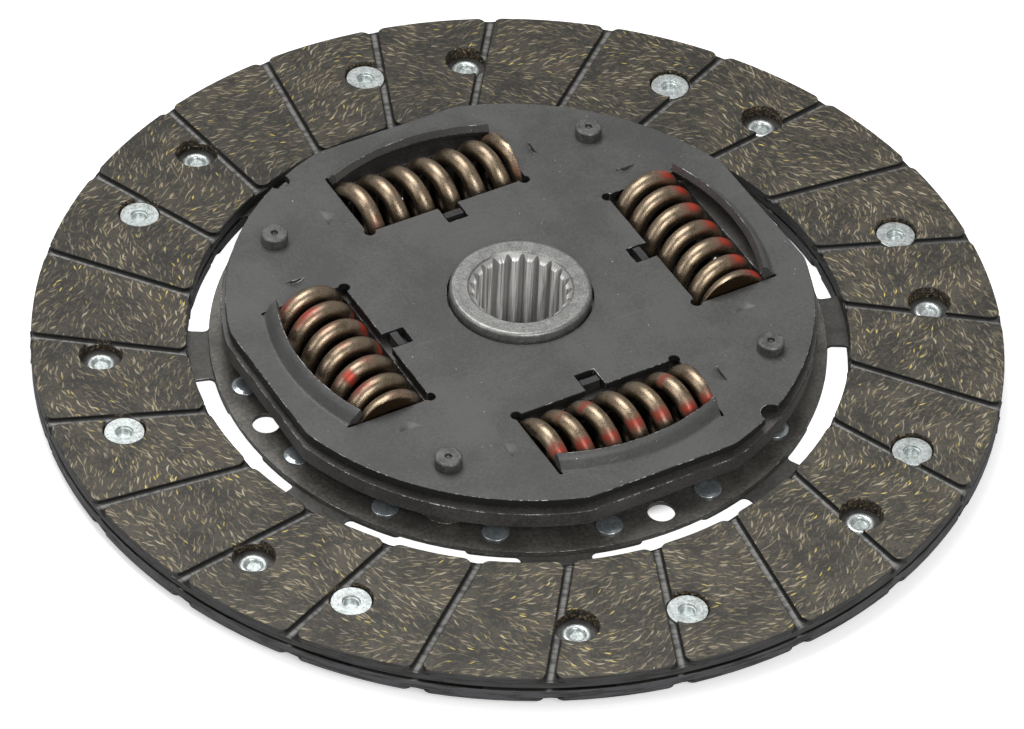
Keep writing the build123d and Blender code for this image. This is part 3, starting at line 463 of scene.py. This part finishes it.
coverMarks = {
    "scratch": (0.16, 0.16, 0.155), "scratchShare": 0.7, "speck": (0.62, 0.62, 0.60),
    # near-black painted shade for the steep cut walls
    "cutWall": (0.016, 0.016, 0.016), "sheetTop": 14.15, "steep": (0.15, 0.35, 1.0, 0.0),
}
# noise values between which tone and roughness run; wear on edges shows in spots only
toneRange = {"usual": (0.38, 0.62), "wornEdge": (0.50, 0.62)}
roughRange = (0.35, 0.65)


def markCover(tree, surface, base):
    # scratches and bright specks; the steep cut walls under the sheet top get a near-black painted shade, the
    # lips above them do not
    look = coverMarks
    scratch = mathNode(tree, "MULTIPLY", surface["Scratch"], look["scratchShare"])
    base = mixColour(tree, scratch, base, look["scratch"])
    base = mixColour(tree, surface["Speck"], base, look["speck"])
    normal = addNode(tree, "ShaderNodeNewGeometry").outputs["True Normal"]
    steep = fade(tree, mathNode(tree, "ABSOLUTE", parted(tree, normal)["Z"]), *look["steep"])
    under = mathNode(tree, "LESS_THAN", parted(tree, objectMillimetres(tree))["Z"], look["sheetTop"])
    return mixColour(tree, mathNode(tree, "MULTIPLY", steep, under), base, look["cutWall"])


def makeMetal(name):
    # metal whose colour and roughness run between two values with the cloudy tone
    dark, light, metallic, roughLow, roughHigh, cloud, grain, bump, depth = metalLooks[name]
    material, tree, shader = startMaterial(name, Metallic=metallic)
    surface = placed(tree, metalGroup, {"Point": objectMillimetres(tree), "Cloud": cloud, "Grain": grain})
    tone = fade(tree, surface["Tone"], *toneRange.get(name, toneRange["usual"]))
    base = mixColour(tree, tone, dark, light)
    if name == "coverSteel":
        base = markCover(tree, surface, base)
    tree.links.new(base, shader.inputs["Base Color"])
    rough = fade(tree, surface["Rough"], *roughRange, roughLow, roughHigh)
    tree.links.new(rough, shader.inputs["Roughness"])
    tree.links.new(bumpNode(tree, surface["Height"], bump, depth), shader.inputs["Normal"])
    return material


# colours are linear, radii and depths in millimetres
hubLook = {
    # the bore's two colours are painted light, far paler than the outside; the spline bottoms get painted
    # shade
    "dark": (0.205, 0.205, 0.198), "light": (0.330, 0.330, 0.318), "boreDark": (0.30, 0.295, 0.285),
    "boreLight": (0.95, 0.94, 0.92), "boreRadius": 12.1, "rootRadius": 11.6, "rootDepth": 0.6,
    "cloud": 0.5, "grain": 2.6,  # waves per mm
    "streaksRound": 30.0, "streaksAlong": 0.05, "metallic": 0.75, "boreMetallic": 0.25,
    "tone": (0.36, 0.64), "streaks": (0.34, 0.60), "rootTone": 0.15, "boreFade": 0.1,
    "roughness": (0.26, 0.44), "bump": (0.5, 0.08),
}


def makeHubSteel():
    # machined steel with a fine grain; inside the bore the colour is painted far paler than outside, a
    # painted light against the bore's shade, with streaks along the axis and painted shade in the bottoms of
    # the splines
    look = hubLook
    material, tree, shader = startMaterial("hubSteel")
    point = objectMillimetres(tree)
    part = parted(tree, point)
    radius, angle = fromAxis(tree, part)
    surface = placed(tree, metalGroup, {"Point": point, "Cloud": look["cloud"], "Grain": look["grain"]})
    base = mixColour(tree, fade(tree, surface["Tone"], *look["tone"]), look["dark"], look["light"])
    streaks = joined(tree, mathNode(tree, "MULTIPLY", angle, look["streaksRound"]),
                     mathNode(tree, "MULTIPLY", part["Z"], look["streaksAlong"]))
    streaks = fade(tree, noise(tree, streaks, 1.0, 3.0, 0.6), *look["streaks"])
    root = fade(tree, radius, look["rootRadius"] - look["rootDepth"], look["rootRadius"], 1.0,
                look["rootTone"])
    bore = fade(tree, radius, look["boreRadius"] - look["boreFade"], look["boreRadius"] + look["boreFade"],
                1.0, 0.0)
    # painted light in the bore, with painted shade in the spline bottoms
    inside = mixColour(tree, mathNode(tree, "MULTIPLY", streaks, root), look["boreDark"], look["boreLight"])
    tree.links.new(mixColour(tree, bore, base, inside), shader.inputs["Base Color"])
    change = look["boreMetallic"] - look["metallic"]
    tree.links.new(mathNode(tree, "MULTIPLY_ADD", bore, change, look["metallic"]), shader.inputs["Metallic"])
    rough = fade(tree, surface["Rough"], *roughRange, *look["roughness"])
    tree.links.new(rough, shader.inputs["Roughness"])
    tree.links.new(bumpNode(tree, surface["Height"], *look["bump"]), shader.inputs["Normal"])
    return material


springLook = {
    "dark": (0.165, 0.124, 0.080), "light": (0.45, 0.360, 0.255), "dull": (0.24, 0.160, 0.115),
    # the ground end faces get a dark brown painted shade
    "paint": (0.52, 0.036, 0.010), "paintThin": (0.26, 0.052, 0.036), "ground": (0.085, 0.052, 0.026),
    "soot": (0.020, 0.015, 0.010), "peenScale": 5.2, "cloudScale": 0.35, "raggedScale": 0.8,  # waves per mm
    "paintCover": 0.92, "metallic": 0.95, "paintMetallic": 0.35, "roughness": (0.24, 0.38),
    "paintRougher": 0.05, "bump": (0.45, 0.08), "peenShare": 0.5, "cloudShare": 0.5,
    "tone": (0.30, 0.64), "dullPatches": (0.45, 0.7, 0.0, 0.5), "roughGrain": (0.3, 0.7),
    # how ragged the edge of the paint and of its thick part is, and the mask values they run between
    "ragged": 0.9, "paintEdge": (0.20, 0.85), "thickRagged": 0.6, "thickEdge": (0.70, 1.0),
}


def makeSpringSteel():
    # shot-peened wire; the mesh carries its rest place and the paint mask, and the pattern is laid on the
    # rest place
    look = springLook
    material, tree, shader = startMaterial("springSteel")
    rest = addNode(tree, "ShaderNodeAttribute", attribute_name="restPlace").outputs["Vector"]
    point = vectorNode(tree, "MULTIPLY", rest, toMillimetres)
    paint, ground, soot = (addNode(tree, "ShaderNodeAttribute", attribute_name=key).outputs["Fac"]
                           for key in ("paint", "groundEnd", "soot"))
    peen = noise(tree, point, look["peenScale"], 2.0, 0.55)
    cloud = noise(tree, point, look["cloudScale"], 1.0, 0.5)
    tone = mathNode(tree, "MULTIPLY", cloud, look["cloudShare"])
    tone = mathNode(tree, "MULTIPLY_ADD", peen, look["peenShare"], tone)
    base = mixColour(tree, fade(tree, tone, *look["tone"]), look["dark"], look["light"])
    base = mixColour(tree, fade(tree, cloud, *look["dullPatches"]), base, look["dull"])
    ragged = mathNode(tree, "SUBTRACT", noise(tree, point, look["raggedScale"], 4.0, 0.7), 0.5)
    mask = mathNode(tree, "MULTIPLY_ADD", ragged, look["ragged"], paint)
    mask = fade(tree, mask, *look["paintEdge"], 0.0, look["paintCover"])
    thick = fade(tree, mathNode(tree, "MULTIPLY_ADD", ragged, look["thickRagged"], paint), *look["thickEdge"])
    base = mixColour(tree, mask, base, mixColour(tree, thick, look["paintThin"], look["paint"]))
    # painted shade: the ground end faces are painted dark brown
    base = mixColour(tree, ground, base, look["ground"])
    # painted shade inside the wire and under the coils
    base = mixColour(tree, soot, base, look["soot"])
    tree.links.new(base, shader.inputs["Base Color"])
    change = look["paintMetallic"] - look["metallic"]
    tree.links.new(mathNode(tree, "MULTIPLY_ADD", mask, change, look["metallic"]), shader.inputs["Metallic"])
    rough = fade(tree, peen, *look["roughGrain"], *look["roughness"])
    rough = mathNode(tree, "MULTIPLY_ADD", mask, look["paintRougher"], rough)
    tree.links.new(rough, shader.inputs["Roughness"])
    tree.links.new(bumpNode(tree, peen, *look["bump"]), shader.inputs["Normal"])
    return material


print("building materials")
looks = {name: makeMetal(name) for name in metalLooks}
looks.update(lining=makeLining(), hub=makeHubSteel(), spring=makeSpringSteel())
slots = {row["node"]: row["material_slot"] for row in frame["record"]["subparts"]}


cleaning = {"merge": 0.002, "flatAngle": 0.4}  # millimetres, degrees


def cleanCopy(source):
    # a copy of the node's mesh with doubles merged and flat triangles joined
    mesh = source.data.copy()
    mesh.materials.clear()
    if "custom_normal" in mesh.attributes:
        mesh.attributes.remove(mesh.attributes["custom_normal"])
    shape = bmesh.new()
    shape.from_mesh(mesh)
    bmesh.ops.remove_doubles(shape, verts=shape.verts, dist=cleaning["merge"] * mm)
    bmesh.ops.dissolve_limit(shape, angle_limit=math.radians(cleaning["flatAngle"]), verts=shape.verts,
                             edges=shape.edges)
    bmesh.ops.recalc_face_normals(shape, faces=shape.faces)
    shape.to_mesh(mesh)
    shape.free()
    return mesh


def roundEdges(piece, width, steps, sharp, worn):
    # rounds over every edge above the sharp angle
    bevel = piece.modifiers.new("edges", "BEVEL")
    bevel.width = width * mm
    bevel.segments = steps
    bevel.limit_method = "ANGLE"
    bevel.angle_limit = math.radians(sharp)
    bevel.use_clamp_overlap = False
    bevel.harden_normals = True
    bevel.miter_outer = "MITER_ARC"
    if worn:
        bevel.material = 1
    # large faces keep their own normal, so bends and roundings do not shade them
    normals = piece.modifiers.new("normals", "WEIGHTED_NORMAL")
    normals.keep_sharp = True


def dressNode(nodeName, look, edgeLook, edge, steps, sharp):
    # a cleaned copy stands for the node, with its finish and its edges rounded over
    source = frame["nodes"][nodeName]
    mesh = cleanCopy(source)
    words = nodeName.split("_")
    piece = bpy.data.objects.new(words[0] + "".join(word.capitalize() for word in words[1:]), mesh)
    bpy.context.scene.collection.objects.link(piece)
    mesh.materials.append(looks[look])
    if edgeLook:
        mesh.materials.append(looks[edgeLook])
    mesh.polygons.foreach_set("use_smooth", np.ones(len(mesh.polygons), bool))
    mesh.set_sharp_from_angle(angle=math.radians(sharp))
    if edge:
        roundEdges(piece, edge, steps, sharp, bool(edgeLook))
    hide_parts(nodeName)
    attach(piece, source["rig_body"])


# node, look, look of its edges, edge rounding in mm, steps in it, angle above which an edge is sharp
dressing = [
    ("facing_gearbox_side", "lining", None, 0.28, 2, 32.0),
    ("facing_flywheel_side", "lining", None, 0.28, 2, 32.0),
    ("cover_plate", "coverSteel", "wornEdge", 0.14, 2, 52.0),
    ("hub_flange", "flangeSteel", "wornEdge", 0.18, 2, 32.0),
    ("driven_plate", "ringSteel", "wornEdge", 0.09, 1, 52.0),
    ("hub", "hub", None, 0.05, 1, 32.0),
    ("facing_rivets_gearbox_side", "rivetZinc", None, 0.14, 2, 32.0),
    ("facing_rivets_flywheel_side", "rivetZinc", None, 0.14, 2, 32.0),
    ("segment_rivets", "smallRivet", None, 0.15, 2, 20.0),
    ("centring_bush", "frictionPolymer", None, 0.10, 1, 32.0),
    ("friction_ring_flywheel_side", "frictionPolymer", None, 0.10, 1, 32.0),
    ("friction_ring_gearbox_side", "frictionPolymer", None, 0.12, 2, 32.0),
    ("disc_spring", "segmentSteel", None, 0.0, 1, 32.0),
]
dressing += [(name, "segmentSteel", "wornEdge", 0.08, 1, 32.0) for name in sorted(slots)
             if name.startswith("cushion_segment")]
dressing += [(name, "boltSteel", None, 0.14, 2, 32.0) for name in sorted(slots)
             if name.startswith("spacer_bolt")]
for row in dressing:
    dressNode(*row)
print("dressed", len(dressing), "nodes")

# lengths in millimetres, angles in degrees; groundShare is the share of the wire left at its ground tips
springSizes = {
    "outer": 19.4, "wire": 4.4, "length": 42.6, "endPitch": 5.25, "activeTurns": 5, "groundShare": 0.25,
    "radius": 45.5, "height": 8.7, "starts": (134.3, 86.6, 192.6, 224.1), "stepsPerTurn": 56, "around": 24,
    "twist": 8.0, "endPlay": 0.1, "sharp": 35.0, "groundFrom": 0.02,
    # how far paint reaches round the wire; painted shade on the inner side of the wire and the lower half of
    # the coil, and how fast it fades
    "paintWrap": 0.35, "sootInside": (0.15, 1.4), "sootBelow": (0.1, 1.5),
}
# coil from the first end, degrees outwards from its top, spread in degrees, strength, side of the wire
springPaint = [
    [(coil, 34.0 + 4.0 * math.sin(2.3 * coil), 24.0, 0.95, -15.0) for coil in range(7)],
    [(0, -60.0, 20.0, 0.5, 0.0), (6, 40.0, 18.0, 0.5, 0.0), (6, -50.0, 20.0, 0.5, 0.0)],
    [(6, 45.0, 30.0, 0.70, 50.0), (5, 26.0, 32.0, 0.85, 45.0), (5, -72.0, 15.0, 0.9, 0.0),
     (4, 12.0, 30.0, 0.50, 50.0), (4, -58.0, 24.0, 0.95, 0.0), (4, 98.0, 18.0, 0.95, -20.0),
     (3, 6.0, 26.0, 0.45, 50.0), (3, -68.0, 24.0, 1.0, 0.0), (3, 86.0, 20.0, 0.9, 0.0),
     (2, -6.0, 18.0, 0.6, 40.0), (2, 40.0, 18.0, 0.60, 55.0), (2, 30.0, 12.0, 1.0, -65.0),
     (1, 26.0, 28.0, 0.70, 50.0), (0, -20.0, 50.0, 0.35, -30.0)],
    [(coil, 42.0 + 4.0 * math.sin(1.9 * coil), 15.0, 0.85, 10.0) for coil in range(7)]
    + [(1, -16.0, 10.0, 0.85, 20.0), (4, -20.0, 10.0, 0.85, 20.0), (5, -16.0, 11.0, 0.55, 20.0)],
]


def coilAngles(index):
    # turns along the wire, the angle of each from the top of the coil, and the angles round the wire
    turns = springSizes["activeTurns"] + 2
    turn = np.linspace(0, turns, turns * springSizes["stepsPerTurn"] + 1)
    angle = np.radians(springSizes["starts"][index]) + 2 * np.pi * turn
    ring = np.linspace(0, 2 * np.pi, springSizes["around"], endpoint=False)
    return turn, angle, ring


def coilSurface(turn, angle, ring, start, along):
    # a circle carried along a helix; its rise per turn is small in the first and last turn, and what would
    # pass the end planes is held on them, which makes the ground ends
    size = springSizes
    over = (0.5 - size["groundShare"]) * size["wire"]
    active = size["length"] + 2 * over - 2 * size["endPitch"]
    levels = [0, size["endPitch"], size["endPitch"] + active, 2 * size["endPitch"] + active]
    rise = np.interp(turn, [0, 1, turn[-1] - 1, turn[-1]], levels) - over
    half = size["wire"] / 2
    out = (size["outer"] - size["wire"]) / 2 + half * np.cos(ring)[None, :]
    level = rise[:, None] + half * np.sin(ring)[None, :]
    held = np.clip(level, 0, size["length"])
    side = out * np.sin(angle)[:, None]
    up = out * np.cos(angle)[:, None]
    points = start + held[..., None] * along + side[..., None] * np.cross(along, (0, 0, 1))
    points = points + up[..., None] * np.array([0, 0, 1])
    return points, (np.abs(held - level) > size["groundFrom"]) * 1.0


def closedTube(points):
    # quads between the rings of a tube, and a fan from its middle over each end ring
    rows, columns = points.shape[:2]
    grid = np.arange(rows * columns).reshape(rows, columns)
    right = np.roll(grid, -1, axis=1)
    quads = np.stack([grid[:-1], grid[1:], right[1:], right[:-1]], axis=-1).reshape(-1, 4)
    first = np.stack([grid[0], right[0], np.full(columns, rows * columns)], axis=-1)
    last = np.stack([right[-1], grid[-1], np.full(columns, rows * columns + 1)], axis=-1)
    vertices = np.concatenate([points.reshape(-1, 3), points[[0, -1]].mean(axis=1)])
    return vertices, quads.tolist() + first.tolist() + last.tolist()


def paintMask(index, turn, ring):
    # soft spots of paint: a bell curve along the wire times the side of the wire that each lies on
    top = (-springSizes["starts"][index] / 360.0) % 1.0
    paint = np.zeros((len(turn), len(ring)))
    for coil, atAngle, spread, strength, lean in springPaint[index]:
        away = (turn - top - coil + atAngle / 360.0) * 360.0 / spread
        outer = np.clip(springSizes["paintWrap"] + np.cos(ring - math.radians(lean)), 0, 1)
        paint = np.maximum(paint, strength * np.exp(-away ** 2)[:, None] * outer[None, :])
    return paint


def coilShadeMask(angle, ring):
    # painted shade on the inside of the wire and the lower half of the coils
    edge, gain = springSizes["sootInside"]
    inside = np.clip(edge - gain * np.cos(ring), 0, 1)
    edge, gain = springSizes["sootBelow"]
    lower = np.clip(edge - gain * np.cos(angle), 0, 1)
    return np.maximum(inside[None, :], lower[:, None])


def makeSpring(index):
    # the coil laid along its window, with masks for paint, ground ends and painted shade at each point
    size = springSizes
    azimuth = index * np.pi / 2
    outwards = np.array([np.cos(azimuth), np.sin(azimuth), 0])
    along = np.array([np.sin(azimuth), -np.cos(azimuth), 0])
    start = outwards * size["radius"] + np.array([0, 0, size["height"]]) - along * size["length"] / 2
    turn, angle, ring = coilAngles(index)
    points, ground = coilSurface(turn, angle, ring, start, along)
    vertices, faces = closedTube(points)
    vertices = vertices * mm
    mesh = bpy.data.meshes.new("damperSpring")
    mesh.from_pydata(vertices.tolist(), [], faces)
    mesh.polygons.foreach_set("use_smooth", np.ones(len(mesh.polygons), bool))
    mesh.set_sharp_from_angle(angle=math.radians(size["sharp"]))
    masks = (("paint", paintMask(index, turn, ring), 0), ("groundEnd", ground, 1),
             ("soot", coilShadeMask(angle, ring) * (1 - ground), 0))
    for key, values, atCaps in masks:
        values = np.append(values.ravel(), (atCaps, atCaps))
        mesh.attributes.new(key, "FLOAT", "POINT").data.foreach_set("value", values.astype(np.float32))
    place = mesh.attributes.new("restPlace", "FLOAT_VECTOR", "POINT")
    place.data.foreach_set("vector", vertices.astype(np.float32).ravel())
    mesh.materials.append(looks["spring"])
    spring = bpy.data.objects.new("damperSpring" + str(index + 1), mesh)
    bpy.context.scene.collection.objects.link(spring)
    nodeName = "damper_spring_" + str(index + 1)
    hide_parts(nodeName)
    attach(spring, "spring_set")
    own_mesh(spring)


for index in range(len(springPaint)):
    makeSpring(index)
print("springs made")

# millimetres, but the floor's size and the lamps are in metres; lifts and world are strengths of light
studio = {
    "floorLevel": -6.0, "floorSize": 6.0, "seen": (0.86, 0.86, 0.86), "bounce": (0.42, 0.42, 0.42),
    # under is a painted shadow on the floor below the damper; the slot lift is a painted light on the floor
    # seen through the slots
    "under": (0.02, 0.02, 0.02), "underEdge": 56.0, "underFade": 6.0, "slotEdge": 80.0, "slotFade": 8.0,
    "slotLift": 1.0, "lift": 0.45, "glossyShare": 0.2, "world": 0.34,
    # name, place in metres, width, depth, watts
    "lamps": [
        ("topLamp", (-0.05, 0.42, 1.15), 0.8, 0.8, 10.5),
        ("leftLamp", (-1.05, 0.05, 0.85), 0.4, 0.9, 3.0),
        ("frontLamp", (-0.10, -1.05, 0.90), 0.6, 0.5, 7.2),
    ],
}


def makeFloor():
    # pale plane, lifted to white where it is seen; right under the damper a painted shadow keeps it dark, and
    # the ring seen through the slots glows fully white, a painted light
    half = studio["floorSize"] / 2
    level = studio["floorLevel"] * mm
    mesh = bpy.data.meshes.new("studioFloor")
    mesh.from_pydata([(-half, -half, level), (half, -half, level), (half, half, level), (-half, half, level)],
                     [], [(0, 1, 2, 3)])
    material, tree, shader = startMaterial("studioFloor", Roughness=0.9, Specular_IOR_Level=0.1)
    rays = addNode(tree, "ShaderNodeLightPath").outputs
    radius = fromAxis(tree, parted(tree, objectMillimetres(tree)))[0]
    # painted shadow: the floor under the damper is dark for camera rays
    clear = fade(tree, radius, studio["underEdge"], studio["underEdge"] + studio["underFade"])
    seen = mixColour(tree, clear, studio["under"], studio["seen"])
    shade = mixColour(tree, rays["Is Camera Ray"], studio["bounce"], seen)
    tree.links.new(shade, shader.inputs["Base Color"])
    # painted light: the floor seen through the slots glows fully white
    lift = fade(tree, radius, studio["slotEdge"], studio["slotEdge"] + studio["slotFade"],
                studio["slotLift"], studio["lift"])
    shown = mathNode(tree, "MULTIPLY_ADD", rays["Is Glossy Ray"], studio["glossyShare"],
                     rays["Is Camera Ray"])
    shader.inputs["Emission Color"].default_value = (1.0, 1.0, 1.0, 1.0)
    tree.links.new(mathNode(tree, "MULTIPLY", mathNode(tree, "MULTIPLY", shown, clear), lift),
                   shader.inputs["Emission Strength"])
    mesh.materials.append(material)
    floor = bpy.data.objects.new("studioFloor", mesh)
    bpy.context.scene.collection.objects.link(floor)


def makeLamps():
    # an even world, white where it is seen, and three soft lamps that face the disc
    world = bpy.data.worlds.new("studioWorld")
    bpy.context.scene.world = world
    world.use_nodes = True
    tree = world.node_tree
    background = tree.nodes["Background"]
    background.inputs["Color"].default_value = (1.0, 1.0, 1.0, 1.0)
    seen = addNode(tree, "ShaderNodeLightPath").outputs["Is Camera Ray"]
    strength = mathNode(tree, "MULTIPLY_ADD", seen, 1.0 - studio["world"], studio["world"])
    tree.links.new(strength, background.inputs["Strength"])
    for name, place, wide, deep, power in studio["lamps"]:
        lamp = bpy.data.lights.new(name, "AREA")
        lamp.shape = "RECTANGLE"
        lamp.size = wide
        lamp.size_y = deep
        lamp.energy = power
        holder = bpy.data.objects.new(name, lamp)
        holder.location = place
        holder.rotation_euler = (-Vector(place)).to_track_quat("-Z", "Y").to_euler()
        bpy.context.scene.collection.objects.link(holder)


# angles in degrees, lengths in millimetres
cameraPlace = {
    "azimuth": 238.9, "elevation": 42.85, "roll": 2.80, "distance": 1338.6, "lens": 200.8,
    "target": (-4.05, -4.47, -2.66),
}


def makeCamera():
    # the camera looks at its target from an azimuth and elevation, then rolls about its own line of sight
    azimuth, elevation, roll = (math.radians(cameraPlace[key]) for key in ("azimuth", "elevation", "roll"))
    back = Vector((math.cos(elevation) * math.cos(azimuth), math.cos(elevation) * math.sin(azimuth),
                   math.sin(elevation)))
    level = Vector((-math.sin(azimuth), math.cos(azimuth), 0.0))
    upright = back.cross(level)
    right = level * math.cos(roll) + upright * math.sin(roll)
    top = upright * math.cos(roll) - level * math.sin(roll)
    data = bpy.data.cameras.new("mainCamera")
    data.lens = cameraPlace["lens"]
    data.sensor_width = 36.0
    data.sensor_fit = "HORIZONTAL"
    camera = bpy.data.objects.new("mainCamera", data)
    bpy.context.scene.collection.objects.link(camera)
    place = (Vector(cameraPlace["target"]) + back * cameraPlace["distance"]) * mm
    camera.matrix_world = Matrix.Translation(place) @ Matrix((right, top, back)).transposed().to_4x4()
    bpy.context.scene.camera = camera


makeFloor()
makeLamps()
makeCamera()
bpy.context.scene.view_settings.view_transform = "Standard"
print("studio ready")
